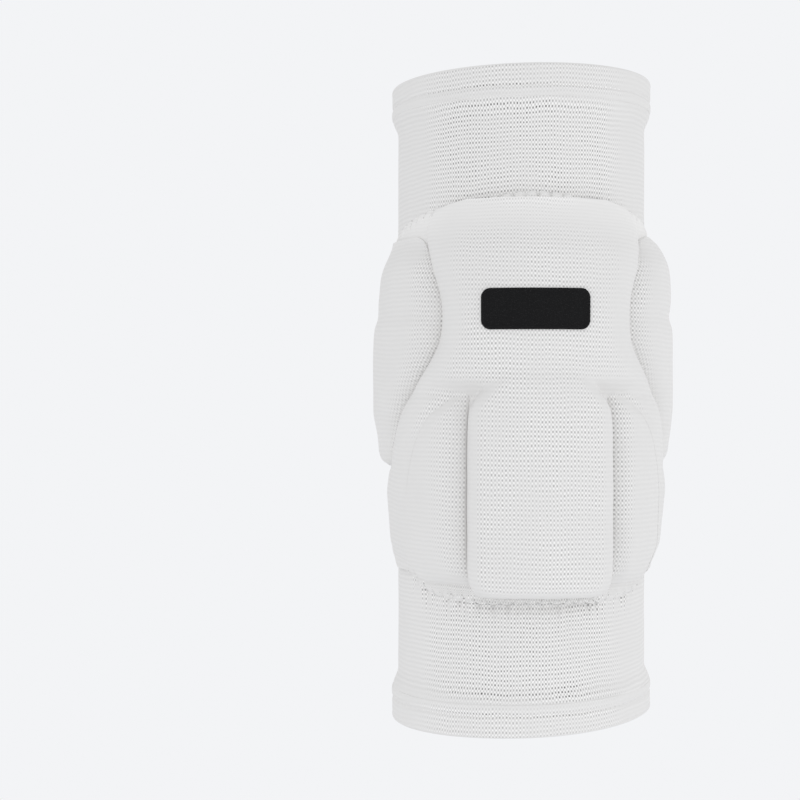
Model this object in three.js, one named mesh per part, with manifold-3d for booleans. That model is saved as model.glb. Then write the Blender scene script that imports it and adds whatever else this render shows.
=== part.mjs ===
// A volleyball knee pad as it is worn, with the leg left out: a knitted sleeve with a folded hem at each
// end, and a knitted front panel that carries five foam pads. Millimetres and degrees. The leg's axis is
// +Z, the front of the knee faces -Y, and the origin is on the axis at the middle of the sleeve.
import * as THREE from "three";
import { mergeVertices } from "three/addons/utils/BufferGeometryUtils.js";
import Module from "manifold-3d";

// Driving sizes
const sleeveLength = 250; // from hem to hem at the front
const legRadius = 47; // inside of the sleeve
const sleeveWall = 2; // thick elastic knit
const cuffFlare = 0.8; // how far the sleeve widens under its hems
const flareLength = 8; // the length over which it widens
const hemHeight = 12.5; // band and ridge together
const hemBand = 8.5; // the band alone, at the sleeve's end
const hemWall = 1.4; // doubled knit outside the sleeve
const hemFold = 1.6; // the fold over the sleeve's end
const hemGroove = 0.7; // depth of the stitched groove between band and ridge
const hemSlant = 1.5; // how much higher the hems sit at the right than at the middle
const panelHalfHeight = 77.5; // from the middle of the knee to the panel's seams
const panelWrap = 120; // angle from the front to the panel's rear seam
const panelWall = 1.6;
const kneePadThickness = 14; // foam over the kneecap
const shinPadThickness = 17; // the block below the kneecap
const armThickness = 7; // the two arms that run down from the knee pad
const lobeThickness = 11; // the lobes between the arms and the block
const sidePadThickness = 9.8;
const blockHalfAngle = 27.4; // from the front to the creases beside the block
const creaseGap = 0.8; // between neighbouring pads
const seatGap = 0.3; // between a piece and the one it lies on
const armTuck = 0.5; // how far the arms and the block draw in where they lie inside the knee pad
const patchWidth = 40;
const patchHeight = 15;
const patchCorner = 3.5;
const patchWall = 1;
const patchCentreHeight = 33; // of the patch above the middle of the knee

const sleeveRadius = legRadius + sleeveWall;
const panelRadius = sleeveRadius + seatGap + panelWall;
const padSeatRadius = panelRadius + seatGap;

// How far the foam rounds off inward from each side of a pad, front side first, and the share of its
// thickness that stands right at that side.
const kneeSides = { frontRound: 18, frontStep: 0.24, rearRound: 18, rearStep: 0.24 };
const blockSides = { frontRound: 6, frontStep: 0.14, rearRound: 6, rearStep: 0.14 };
const armSides = { frontRound: 8, frontStep: 0.7, rearRound: 22, rearStep: 0.08 };
const lobeSides = { frontRound: 7, frontStep: 0.14, rearRound: 14, rearStep: 0.5 };
const sidePadSides = { frontRound: 22, frontStep: 0.08, rearRound: 27, rearStep: 0.06 };

// Outline of the panel from its rear seam to the front. around is a share of panelWrap and reach, the
// height of its seams above and below the middle, a share of panelHalfHeight.
const panelOutline = [
  { around: 1.0, reach: 0.38 },
  { around: 0.985, reach: 0.56 },
  { around: 0.95, reach: 0.69 },
  { around: 0.88, reach: 0.79 },
  { around: 0.75, reach: 0.86 },
  { around: 0.58, reach: 0.905 },
  { around: 0.43, reach: 0.955 },
  { around: 0.25, reach: 0.985 },
  { around: 0.0, reach: 1.0 },
];

// Outer edge of the knee pad and its arms, from the upper seam down. up is a share of panelHalfHeight and
// edge a share of panelWrap.
const centreEdges = [
  { up: 0.97, edge: 0.24 },
  { up: 0.93, edge: 0.36 },
  { up: 0.86, edge: 0.41 },
  { up: 0.77, edge: 0.41 },
  { up: 0.65, edge: 0.37 },
  { up: 0.52, edge: 0.335 },
  { up: 0.4, edge: 0.325 },
  { up: 0.28, edge: 0.335 },
  { up: 0.19, edge: 0.37 },
  { up: 0.09, edge: 0.425 },
  { up: 0.0, edge: 0.48 },
  { up: -0.1, edge: 0.535 },
  { up: -0.19, edge: 0.575 },
  { up: -0.27, edge: 0.605 },
  { up: -0.33, edge: 0.65 },
  { up: -0.37, edge: 0.73 },
  { up: -0.42, edge: 0.795 },
  { up: -0.5, edge: 0.82 },
  { up: -0.66, edge: 0.82 },
  { up: -0.76, edge: 0.785 },
  { up: -0.83, edge: 0.71 },
  { up: -0.88, edge: 0.61 },
];

// Foam of the knee pad from top to bottom. thick is a share of kneePadThickness.
const kneeRows = [
  { up: 0.965, thick: 0.06 },
  { up: 0.93, thick: 0.24 },
  { up: 0.87, thick: 0.55 },
  { up: 0.8, thick: 0.79 },
  { up: 0.7, thick: 0.95 },
  { up: 0.55, thick: 1.0 },
  { up: 0.4, thick: 1.0 },
  { up: 0.26, thick: 0.98 },
  { up: 0.18, thick: 0.91 },
  { up: 0.13, thick: 0.8 },
  { up: 0.08, thick: 0.65 },
  { up: 0.04, thick: 0.44 },
];

// Foam of the block below the kneecap. width is a share of blockHalfAngle and thick of shinPadThickness.
const blockRows = [
  { up: 0.2, width: 0.66, thick: 0.46 },
  { up: 0.16, width: 0.8, thick: 0.67 },
  { up: 0.12, width: 0.88, thick: 0.8 },
  { up: 0.06, width: 0.95, thick: 0.89 },
  { up: -0.03, width: 1.0, thick: 0.95 },
  { up: -0.25, width: 1.0, thick: 0.99 },
  { up: -0.5, width: 1.0, thick: 1.0 },
  { up: -0.75, width: 1.0, thick: 0.98 },
  { up: -0.86, width: 0.99, thick: 0.92 },
  { up: -0.905, width: 0.95, thick: 0.78 },
  { up: -0.925, width: 0.88, thick: 0.5 },
];

// The flank on each side of the block: split is the line between its lobe and its arm, as a share of
// panelWrap, and the foam of each is a share of lobeThickness and armThickness.
const flankRows = [
  { up: 0.24, split: 0.245, lobeThick: 0.1, armThick: 1.35 },
  { up: 0.1, split: 0.245, lobeThick: 0.1, armThick: 1.25 },
  { up: 0.025, split: 0.27, lobeThick: 0.25, armThick: 1.18 },
  { up: -0.01, split: 0.3, lobeThick: 0.62, armThick: 1.14 },
  { up: -0.08, split: 0.345, lobeThick: 0.84, armThick: 1.1 },
  { up: -0.18, split: 0.39, lobeThick: 0.95, armThick: 1.06 },
  { up: -0.3, split: 0.42, lobeThick: 1.0, armThick: 1.0 },
  { up: -0.45, split: 0.445, lobeThick: 1.03, armThick: 0.94 },
  { up: -0.6, split: 0.465, lobeThick: 1.0, armThick: 0.87 },
  { up: -0.74, split: 0.48, lobeThick: 0.88, armThick: 0.74 },
  { up: -0.82, split: 0.475, lobeThick: 0.7, armThick: 0.58 },
  { up: -0.86, split: 0.455, lobeThick: 0.5, armThick: 0.38 },
  { up: -0.885, split: 0.42, lobeThick: 0.26, armThick: 0.2 },
];

// The side pads: rear is the rear edge, and inset how far the pad draws away from the knee pad, both as
// shares of panelWrap. thick is a share of sidePadThickness.
const sideRows = [
  { up: 0.85, inset: 0.13, rear: 0.7, thick: 0.22 },
  { up: 0.83, inset: 0.06, rear: 0.77, thick: 0.48 },
  { up: 0.78, inset: 0.02, rear: 0.82, thick: 0.66 },
  { up: 0.65, inset: 0, rear: 0.86, thick: 0.86 },
  { up: 0.53, inset: 0, rear: 0.885, thick: 0.93 },
  { up: 0.45, inset: 0, rear: 0.895, thick: 0.9 },
  { up: 0.41, inset: 0, rear: 0.9, thick: 0.86 },
  { up: 0.36, inset: 0, rear: 0.925, thick: 0.95 },
  { up: 0.2, inset: 0, rear: 0.935, thick: 1.0 },
  { up: 0.0, inset: 0, rear: 0.93, thick: 1.0 },
  { up: -0.15, inset: 0, rear: 0.91, thick: 0.93 },
  { up: -0.25, inset: 0, rear: 0.885, thick: 0.78 },
  { up: -0.31, inset: 0.005, rear: 0.85, thick: 0.54 },
  { up: -0.33, inset: 0.02, rear: 0.81, thick: 0.3 },
];

// Facets
const ringSteps = 36; // round the sleeve and the hems
const panelSteps = 36; // round the panel
const kneeSteps = 16; // from side to side of the knee pad
const blockSteps = 8;
const flankSteps = 6; // across each arm and lobe
const sidePadSteps = 12;
const patchSteps = 8;
const levelStep = 0.042; // between the rows that all pads share, as a share of panelHalfHeight

const radians = THREE.MathUtils.degToRad;
const degrees = THREE.MathUtils.radToDeg;
const gapAngle = degrees(creaseGap / padSeatRadius);
const tuckAngle = degrees(armTuck / padSeatRadius);

// A table's columns at a place between its rows, on smooth curves through the rows. key is the column
// that falls from row to row.
function readTable(table, key, wanted) {
  const last = table.length - 1;
  const place = THREE.MathUtils.clamp(wanted, table[last][key], table[0][key]);
  let i = 0;
  while (i < last - 1 && place < table[i + 1][key]) i += 1;
  const span = table[i + 1][key] - table[i][key];
  const t = (place - table[i][key]) / span;
  const slope = (k, column) => {
    const before = table[Math.max(k - 1, 0)];
    const after = table[Math.min(k + 1, last)];
    return (after[column] - before[column]) / (after[key] - before[key]);
  };
  const found = {};
  for (const column of Object.keys(table[0])) {
    const start = table[i][column] * (1 + 2 * t) * (1 - t) ** 2;
    const end = table[i + 1][column] * t ** 2 * (3 - 2 * t);
    const leaving = slope(i, column) * span * t * (1 - t) ** 2;
    const arriving = slope(i + 1, column) * span * t ** 2 * (t - 1);
    found[column] = start + end + leaving + arriving;
  }
  return found;
}

// Outer edge of the knee pad and of its arms at a height share.
const centreEdge = (up) => readTable(centreEdges, "up", up).edge * panelWrap;

// Each pad gives, at a height share, the angles of its two sides, its foam's thickness, and how far its
// inner face lifts off the panel.
const pads = {
  knee: {
    sides: kneeSides,
    at(up) {
      const half = centreEdge(up);
      const thick = kneePadThickness * readTable(kneeRows, "up", up).thick;
      return { from: -half, to: half, thick, lift: 0 };
    },
  },
  block: {
    sides: blockSides,
    at(up) {
      const row = readTable(blockRows, "up", up);
      const half = blockHalfAngle * row.width;
      return { from: -half, to: half, thick: shinPadThickness * row.thick, lift: tuckUnderKnee(up) };
    },
  },
  arm: {
    sides: armSides,
    at(up) {
      const row = readTable(flankRows, "up", up);
      const to = centreEdge(up) - tuckAngle;
      const thick = armThickness * row.armThick;
      return { from: row.split * panelWrap, to, thick, lift: tuckUnderKnee(up) };
    },
  },
  lobe: {
    sides: lobeSides,
    at(up) {
      const row = readTable(flankRows, "up", up);
      const to = row.split * panelWrap - gapAngle;
      return { from: blockHalfAngle + gapAngle, to, thick: lobeThickness * row.lobeThick, lift: 0 };
    },
  },
  side: {
    sides: sidePadSides,
    at(up) {
      const row = readTable(sideRows, "up", up);
      const from = centreEdge(up) + gapAngle + row.inset * panelWrap;
      return { from, to: row.rear * panelWrap, thick: sidePadThickness * row.thick, lift: 0 };
    },
  },
};

const kneeTop = kneeRows[0].up;
const kneeFoot = kneeRows[kneeRows.length - 1].up;

// The block and the arms start inside the knee pad, where their inner faces stay off the panel.
function tuckUnderKnee(up) {
  return up > kneeFoot - levelStep / 2 ? armTuck : 0;
}

// 1 on a pad's body, rounding down to step right at its side. angle is measured inward from the side.
function roundedSide(angle, round, step) {
  const inward = THREE.MathUtils.clamp((radians(angle) * padSeatRadius) / round, 0, 1);
  return step + (1 - step) * Math.sqrt(1 - (1 - inward) ** 2);
}

// Radius of a pad's outer surface at an angle and a height share.
function padSurface(pad, angle, up) {
  const { from, to, thick } = pad.at(up);
  const { frontRound, frontStep, rearRound, rearStep } = pad.sides;
  const front = roundedSide(angle - from, frontRound, frontStep);
  const rear = roundedSide(to - angle, rearRound, rearStep);
  return padSeatRadius + thick * front * rear;
}

// A closed solid between two skins. places is a grid of { angle, z }, its rows running down the leg, and
// inner and outer give the radius of each skin there. side is -1 for a mirrored piece.
function skinSolid(places, inner, outer, side = 1) {
  const points = [];
  for (const skin of [outer, inner])
    for (const { angle, z } of places.flat()) {
      const radius = skin(angle, z);
      points.push(side * radius * Math.sin(radians(angle)));
      points.push(-radius * Math.cos(radians(angle)), z);
    }
  const across = places[0].length;
  const down = places.length;
  const back = down * across;
  const index = [];
  const apart = (a, b) =>
    Math.hypot(...[0, 1, 2].map((k) => points[3 * a + k] - points[3 * b + k]));
  const triangle = (a, b, c) => (side > 0 ? index.push(a, b, c) : index.push(a, c, b));
  const quad = (a, b, c, d) => {
    const [p, q, r, s] = apart(a, c) < apart(b, d) ? [a, b, c, d] : [b, c, d, a];
    triangle(p, q, r);
    triangle(p, r, s);
  };
  for (let i = 0; i < down - 1; i += 1)
    for (let j = 0; j < across - 1; j += 1) {
      const a = i * across + j;
      quad(a, a + across, a + across + 1, a + 1);
      quad(back + a, back + a + 1, back + a + across + 1, back + a + across);
    }
  for (let i = 0; i < down - 1; i += 1) {
    const first = i * across;
    const end = first + across - 1;
    quad(first, back + first, back + first + across, first + across);
    quad(end, end + across, back + end + across, back + end);
  }
  for (let j = 0; j < across - 1; j += 1) {
    const foot = (down - 1) * across + j;
    quad(j, j + 1, back + j + 1, back + j);
    quad(foot, back + foot, back + foot + 1, foot + 1);
  }
  const geometry = new THREE.BufferGeometry();
  geometry.setAttribute("position", new THREE.Float32BufferAttribute(points, 3));
  geometry.setIndex(index);
  geometry.computeVertexNormals();
  return geometry;
}

const evenShares = (steps) => Array.from({ length: steps + 1 }, (_, i) => i / steps);

// Shares from side to side of a pad, closer together where it rounds off.
const roundedShares = (steps) =>
  evenShares(steps).map((share) => share - Math.sin(2 * Math.PI * share) / (4 * Math.PI));

// Height shares from a pad's top to its foot: the shared rows between them, with one more row next to
// each end, where the foam rounds off.
function levelsBetween(top, foot) {
  const shared = [];
  for (let level = 1; level > -1; level -= levelStep)
    if (level < top - levelStep / 2 && level > foot + levelStep / 2) shared.push(level);
  const highest = shared[0];
  const lowest = shared[shared.length - 1];
  return [top, (top + highest) / 2, ...shared, (lowest + foot) / 2, foot];
}

// The solid of one pad between two height shares.
function padSolid(pad, top, foot, steps, side = 1) {
  const places = levelsBetween(top, foot).map((up) => {
    const { from, to } = pad.at(up);
    const z = up * panelHalfHeight;
    return roundedShares(steps).map((share) => ({ angle: from + (to - from) * share, z }));
  });
  const inner = (angle, z) => padSeatRadius + pad.at(z / panelHalfHeight).lift;
  const outer = (angle, z) => padSurface(pad, angle, z / panelHalfHeight);
  return skinSolid(places, inner, outer, side);
}

// A ring round the leg from a closed outline of [radius, height] points, slanted as the hems are.
function ringSolid(outline) {
  const points = [...outline, outline[0]].map(([r, z]) => new THREE.Vector2(r, z));
  const ring = new THREE.LatheGeometry(points, ringSteps).rotateX(Math.PI / 2);
  const at = ring.getAttribute("position");
  for (let i = 0; i < at.count; i += 1) {
    const reach = (2 * at.getZ(i)) / sleeveLength;
    const lift = (hemSlant * at.getX(i) * reach ** 2) / sleeveRadius;
    at.setZ(i, at.getZ(i) + lift);
  }
  ring.computeVertexNormals();
  return ring;
}

// The sleeve's wall, wider under both hems.
function sleeveSolid() {
  const end = sleeveLength / 2 - hemFold - seatGap;
  const hemStart = sleeveLength / 2 - hemHeight;
  const flareStart = hemStart - flareLength;
  const wall = (radius) => [
    [radius + cuffFlare, -end],
    [radius + cuffFlare, -hemStart],
    [radius, -flareStart],
    [radius, flareStart],
    [radius + cuffFlare, hemStart],
    [radius + cuffFlare, end],
  ];
  return ringSolid([...wall(sleeveRadius), ...wall(legRadius).reverse()]);
}

// A folded hem over the sleeve's end: a band, a stitched groove and a ridge. end is 1 at the top.
function hemSolid(end) {
  const inside = legRadius + cuffFlare;
  const leg = sleeveRadius + cuffFlare + seatGap;
  const proud = leg + hemWall;
  const rim = hemWall / 2;
  const outline = [
    [leg, hemFold],
    [inside, hemFold],
    [inside, rim],
    [inside + rim, 0],
    [proud - rim, 0],
    [proud, rim],
    [proud, hemBand - hemGroove],
    [proud - hemGroove, hemBand],
    [proud, hemBand + hemGroove],
    [proud, hemHeight - hemGroove],
    [proud - hemGroove, hemHeight],
    [leg, hemHeight],
  ].map(([r, depth]) => [r, end * (sleeveLength / 2 - depth)]);
  return ringSolid(end > 0 ? outline.reverse() : outline);
}

// The knitted front panel.
function panelSolid() {
  const places = [1, -1].map((end) =>
    roundedShares(panelSteps).map((share) => {
      const turn = 2 * share - 1;
      const { reach } = readTable(panelOutline, "around", Math.abs(turn));
      return { angle: turn * panelWrap, z: end * reach * panelHalfHeight };
    }),
  );
  const inner = () => sleeveRadius + seatGap;
  return skinSolid(places, inner, () => panelRadius);
}

// The embroidered patch, a plain bar with round corners that lies on the knee pad.
function patchSolid() {
  const seat = (angle, z) => padSurface(pads.knee, angle, z / panelHalfHeight) + seatGap;
  const centre = seat(0, patchCentreHeight);
  const straight = patchHeight / 2 - patchCorner;
  const places = evenShares(patchSteps).map((share) => {
    const rise = patchHeight * (0.5 - share);
    const intoCorner = Math.max(0, Math.abs(rise) - straight);
    const cut = patchCorner - Math.sqrt(patchCorner ** 2 - intoCorner ** 2);
    const half = degrees((patchWidth / 2 - cut) / centre);
    const z = patchCentreHeight + rise;
    return evenShares(patchSteps).map((across) => ({ angle: half * (2 * across - 1), z }));
  });
  return skinSolid(places, seat, (angle, z) => seat(angle, z) + patchWall);
}

const wasm = await Module();
wasm.setup();

function toManifold(geometry) {
  const bare = geometry.clone();
  bare.deleteAttribute("normal");
  const merged = mergeVertices(bare);
  return new wasm.Manifold(
    new wasm.Mesh({
      numProp: 3,
      vertProperties: merged.getAttribute("position").array,
      triVerts: new Uint32Array(merged.getIndex().array),
    }),
  );
}

function toGeometry(manifold) {
  const { vertProperties, triVerts } = manifold.getMesh();
  const geometry = new THREE.BufferGeometry();
  geometry.setAttribute("position", new THREE.BufferAttribute(vertProperties, 3));
  geometry.setIndex(new THREE.BufferAttribute(triVerts, 1));
  geometry.computeVertexNormals();
  return geometry;
}

const armTop = 0.24;
const armFoot = -0.87;
const lobeTop = 0.025;
const endsOf = (table) => [table[0].up, table[table.length - 1].up];

// The middle pad is one foam: the knee pad, the block under it and the two arms beside the lobes.
function centreSolid() {
  const knee = padSolid(pads.knee, kneeTop, kneeFoot, kneeSteps);
  const block = padSolid(pads.block, ...endsOf(blockRows), blockSteps);
  let centre = toManifold(knee).add(toManifold(block));
  for (const side of [-1, 1]) {
    const arm = padSolid(pads.arm, armTop, armFoot, flankSteps, side);
    centre = centre.add(toManifold(arm));
  }
  return toGeometry(centre);
}

const whiteKnit = { color: 0xe6e6e8, roughness: 0.9, metalness: 0 };
const blackThread = { color: 0x171717, roughness: 0.7, metalness: 0 };

function mesh(name, geometry, look) {
  const made = new THREE.Mesh(geometry, new THREE.MeshStandardMaterial(look));
  made.name = name;
  return made;
}

const kneePad = new THREE.Group();
kneePad.add(mesh("sleeve", sleeveSolid(), whiteKnit));
kneePad.add(mesh("upper_hem", hemSolid(1), whiteKnit));
kneePad.add(mesh("lower_hem", hemSolid(-1), whiteKnit));
kneePad.add(mesh("front_panel", panelSolid(), whiteKnit));
kneePad.add(mesh("centre_pad", centreSolid(), whiteKnit));
for (const [name, side] of [
  ["left", -1],
  ["right", 1],
]) {
  const [, lobeFoot] = endsOf(flankRows);
  const lobe = padSolid(pads.lobe, lobeTop, lobeFoot, flankSteps, side);
  const sidePad = padSolid(pads.side, ...endsOf(sideRows), sidePadSteps, side);
  kneePad.add(mesh(`${name}_shin_lobe`, lobe, whiteKnit));
  kneePad.add(mesh(`${name}_side_pad`, sidePad, whiteKnit));
}
kneePad.add(mesh("embroidered_patch", patchSolid(), blackThread));

export default kneePad;
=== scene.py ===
# A volleyball knee pad as it is worn, with the leg left out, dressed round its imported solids. Shapes are
# worked out in millimetres and degrees: an angle is measured from the front of the knee, positive to +X.
import math
import bpy
import numpy as np
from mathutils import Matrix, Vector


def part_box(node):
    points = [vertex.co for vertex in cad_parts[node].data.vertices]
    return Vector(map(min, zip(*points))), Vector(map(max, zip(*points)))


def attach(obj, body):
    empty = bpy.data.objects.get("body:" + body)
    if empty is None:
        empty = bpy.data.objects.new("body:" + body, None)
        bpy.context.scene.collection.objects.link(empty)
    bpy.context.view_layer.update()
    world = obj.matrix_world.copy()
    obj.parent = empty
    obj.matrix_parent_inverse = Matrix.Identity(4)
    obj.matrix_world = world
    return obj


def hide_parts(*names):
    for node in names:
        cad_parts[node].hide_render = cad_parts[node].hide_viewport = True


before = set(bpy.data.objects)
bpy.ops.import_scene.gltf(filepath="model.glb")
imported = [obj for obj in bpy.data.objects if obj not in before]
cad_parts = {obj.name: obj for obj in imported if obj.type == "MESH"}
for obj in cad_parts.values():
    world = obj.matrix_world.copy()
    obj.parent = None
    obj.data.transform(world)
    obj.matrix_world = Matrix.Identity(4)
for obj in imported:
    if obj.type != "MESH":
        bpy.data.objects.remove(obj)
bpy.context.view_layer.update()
MM = 0.001


def node_size(node, end, axis):
    """A node's lowest (0) or highest (1) place along an axis, in millimetres."""
    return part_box(node)[end][axis] / MM


# Sizes from the frame. The panel reaches up to PANEL_TOP, and the pads' foam sits on the seat radius.
PANEL_RADIUS = -node_size("front_panel", 0, 1)
PANEL_TOP = node_size("front_panel", 1, 2)
SEAT_GAP = 0.3
SEAT_RADIUS = PANEL_RADIUS + SEAT_GAP
HEM_RADIUS = node_size("upper_hem", 1, 0)
HEM_STAND = 2.5
SLEEVE_RADIUS = HEM_RADIUS - HEM_STAND

# The sleeve and its hems. The groove and the ridge are measured from a hem's end.
SLEEVE_WALL = 2.0
HALF_LENGTH = 125.0
HEM_HEIGHT = 12.5
HEM_GROOVE = 8.2
HEM_RIDGE = 10.4

# How much higher each end is at the right than in the middle, and what the lower right corner adds
UPPER_SLANT = 1.1
LOWER_SLANT = 2.1
CORNER_LIFT = 1.4

# The angle that the panel covers to either side of the front, and how many seam stitches cross it
PANEL_WRAP = 120.0
SEAM_STITCHES = 44
THREAD_THICK = 0.3

# Knit: the distance between stitches across and down, on the sleeve and on the stretched pads, and how
# far its rows climb for each millimetre round the leg
SLEEVE_STITCH = (1.19, 1.74)
SLEEVE_KNIT_RISE = 0.012
PAD_STITCH = (1.26, 1.76)
PAD_KNIT_RISE = 0.02
PAD_KNIT_RADIUS = 64.0

# Foam thicknesses, the least height of a foam's edge, how deep its back lies in the panel, and how much
# deeper where the edge sinks out of sight. Neighbouring foams are pressed a little into each other.
KNEE_THICK = 14.0
BLOCK_THICK = 16.0
ARM_THICK = 7.0
LOBE_THICK = 12.0
SIDE_THICK = 9.8
CENTRE_EDGE_HEIGHT = 0.25
SIDE_EDGE_HEIGHT = 0.2
SEWN_DEPTH = 0.45
SUNK_DEPTH = 1.0
PRESSED = 0.03

# Where the foams start and end, as shares of PANEL_TOP, and half of the angle that the block covers
CENTRE_TOP = 0.965
CENTRE_FOOT = -0.936
LOBE_TOP = 0.025
LOBE_FOOT = -0.885
ARM_FOOT = -0.845
SIDE_TOP = {"left": 0.803, "right": 0.82}
SIDE_FOOT = -0.335
BLOCK_HALF_ANGLE = 26.6

# Outlines and heights down the leg. Up, top and foot are shares of PANEL_TOP. Edge, split, inset, rear and
# around are shares of PANEL_WRAP. Crease and round are in millimetres, and the rest are shares of a foam's
# own thickness or angle.
CENTRE_EDGES = {
    "up": [0.97, 0.93, 0.86, 0.77, 0.65, 0.52, 0.4, 0.28, 0.19, 0.09, 0.0, -0.1, -0.19, -0.27, -0.33,
           -0.37, -0.42, -0.5, -0.66, -0.76, -0.83, -0.88],
    "edge": [0.24, 0.36, 0.41, 0.41, 0.37, 0.335, 0.325, 0.335, 0.37, 0.425, 0.48, 0.535, 0.575, 0.605,
             0.64, 0.7, 0.75, 0.785, 0.785, 0.76, 0.7, 0.61],
}
KNEE_ROWS = {
    "up": [0.965, 0.93, 0.87, 0.8, 0.7, 0.55, 0.4, 0.28, 0.2, 0.154, 0.1, 0.04, -0.04, -0.1],
    "thick": [0.02, 0.15, 0.42, 0.7, 0.93, 1.0, 1.0, 0.98, 0.93, 0.89, 0.79, 0.52, 0.14, 0.0],
}
BLOCK_ROWS = {
    "up": [0.2, 0.16, 0.13, 0.1, 0.06, 0.0, -0.06, -0.25, -0.5, -0.75, -0.85, -0.89, -0.908, -0.924, -0.936],
    "width": [0.5, 0.55, 0.6, 0.66, 0.76, 0.9, 0.98, 1.0, 1.0, 1.0, 0.99, 0.96, 0.93, 0.9, 0.86],
    "thick": [0.0, 0.4, 0.62, 0.78, 0.89, 0.95, 0.97, 0.99, 1.0, 0.99, 0.96, 0.91, 0.86, 0.76, 0.5],
}
FLANK_ROWS = {
    "up": [0.4, 0.24, 0.1, 0.05, 0.025, 0.0, -0.04, -0.08, -0.18, -0.3, -0.36, -0.45, -0.52, -0.62,
           -0.673, -0.725, -0.777, -0.829, -0.86, -0.885],
    "split": [0.245, 0.245, 0.245, 0.252, 0.265, 0.285, 0.315, 0.345, 0.39, 0.42, 0.43, 0.445, 0.452,
              0.465, 0.475, 0.48, 0.48, 0.47, 0.455, 0.42],
    "lobe": [0.0, 0.62, 0.72, 0.69, 0.69, 0.78, 0.87, 0.94, 0.99, 1.0, 1.0, 1.0, 1.0, 0.98,
             0.95, 0.9, 0.82, 0.68, 0.5, 0.26],
    "arm": [0.0, 1.1, 1.28, 1.25, 1.23, 1.2, 1.17, 1.14, 1.1, 1.06, 1.02, 0.96, 0.83, 0.72,
            0.68, 0.59, 0.33, 0.08, 0.03, 0.02],
    "crease": [0.0, 0.0, 0.2, 0.6, 0.9, 1.2, 1.3, 1.2, 0.9, 0.5, 0.35, 0.15, 0.05, 0.0,
               0.0, 0.0, 0.0, 0.0, 0.0, 0.0],
    "round": [11, 11, 11, 11, 11, 11, 11, 12, 14, 20, 26, 28, 28, 28, 28, 28, 28, 28, 28, 28],
    "stand": [0.4, 0.4, 0.4, 0.4, 0.4, 0.4, 0.4, 0.4, 0.38, 0.3, 0.18, 0.12, 0.12, 0.12,
              0.12, 0.12, 0.12, 0.12, 0.12, 0.12],
}
SIDE_ROWS = {
    "up": [0.82, 0.8, 0.777, 0.725, 0.673, 0.6, 0.5, 0.46, 0.414, 0.363, 0.3, 0.1, -0.05, -0.155,
           -0.22, -0.27, -0.31, -0.335],
    "inset": [0.12, 0.06, 0.03, 0.01, 0, 0, 0, 0, 0, 0, 0, 0, 0, 0, 0, 0, 0.005, 0.02],
    "rear": [0.69, 0.73, 0.775, 0.785, 0.797, 0.812, 0.822, 0.84, 0.88, 0.89, 0.9, 0.915, 0.905, 0.88,
             0.86, 0.835, 0.8, 0.77],
    "thick": [0.08, 0.27, 0.43, 0.7, 0.87, 0.94, 0.95, 0.89, 0.81, 0.92, 0.95, 0.95, 0.95, 0.94,
              0.93, 0.95, 0.88, 0.55],
}
PANEL_OUTLINE = {
    "around": [1.0, 0.985, 0.95, 0.88, 0.75, 0.68, 0.58, 0.43, 0.25, 0.12, 0.0],
    "top": [0.38, 0.55, 0.66, 0.745, 0.805, 0.845, 0.882, 0.925, 0.95, 0.98, 1.0],
    "foot": [0.38, 0.56, 0.68, 0.755, 0.795, 0.812, 0.852, 0.94, 0.975, 0.975, 0.97],
}


def read_table(table, key, column, wanted):
    """A column at places between a table's rows, on smooth curves through them."""
    order = np.argsort(table[key])
    xs = np.array(table[key], float)[order]
    ys = np.array(table[column], float)[order]
    slopes = np.empty_like(xs)
    slopes[1:-1] = (ys[2:] - ys[:-2]) / (xs[2:] - xs[:-2])
    slopes[0] = (ys[1] - ys[0]) / (xs[1] - xs[0])
    slopes[-1] = (ys[-1] - ys[-2]) / (xs[-1] - xs[-2])
    at = np.clip(wanted, xs[0], xs[-1])
    i = np.clip(np.searchsorted(xs, at) - 1, 0, len(xs) - 2)
    span = xs[i + 1] - xs[i]
    t = (at - xs[i]) / span
    start = ys[i] * (1 + 2 * t) * (1 - t) ** 2
    end = ys[i + 1] * t ** 2 * (3 - 2 * t)
    leaving = slopes[i] * span * t * (1 - t) ** 2
    arriving = slopes[i + 1] * span * t ** 2 * (t - 1)
    return start + end + leaving + arriving


def smoothstep(x):
    """0 up to 0 and 1 from 1, with a smooth rise between."""
    x = np.clip(x, 0, 1)
    return x * x * (3 - 2 * x)


def ramp(value, start, length):
    """A smooth rise from 0 at a start to 1 a length further on."""
    return smoothstep((value - start) / length)


def hump(x, width):
    """1 at 0 and nearly 0 more than twice the width away."""
    return np.exp(-((x / width) ** 2))


def soft_max(a, b, width):
    """The higher of two surfaces, blended where they cross."""
    return 0.5 * (a + b + np.sqrt((a - b) ** 2 + width ** 2))


def rounded_side(distance, rounding, stand, softness=0.5):
    """1 on a pad's body, rounding down to stand at its side."""
    inward = np.clip(distance / rounding, 0, 1)
    return stand + (1 - stand) * (1 - (1 - inward) ** 2) ** softness


def arc(angle, radius=SEAT_RADIUS):
    """The length round the leg of an angle."""
    return np.radians(angle) * radius


def degrees(length, radius=SEAT_RADIUS):
    """The angle of a length round the leg."""
    return math.degrees(length / radius)


SEAM_PITCH = 2 * arc(PANEL_WRAP) / SEAM_STITCHES


# Unevenness and meshes


def ripple(angle, z, seed, size, count=9):
    """Gentle random waves of about so many millimetres, between -1 and 1."""
    draw = np.random.default_rng(seed)
    total = np.zeros(np.broadcast(angle, z).shape)
    for _ in range(count):
        turn = draw.uniform(0, 2 * math.pi)
        length = size * draw.uniform(0.7, 1.6)
        phase = draw.uniform(0, 2 * math.pi)
        across = arc(angle) * math.cos(turn)
        total += np.sin(2 * math.pi * (across + z * math.sin(turn)) / length + phase)
    return total / math.sqrt(count) / 1.8


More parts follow.
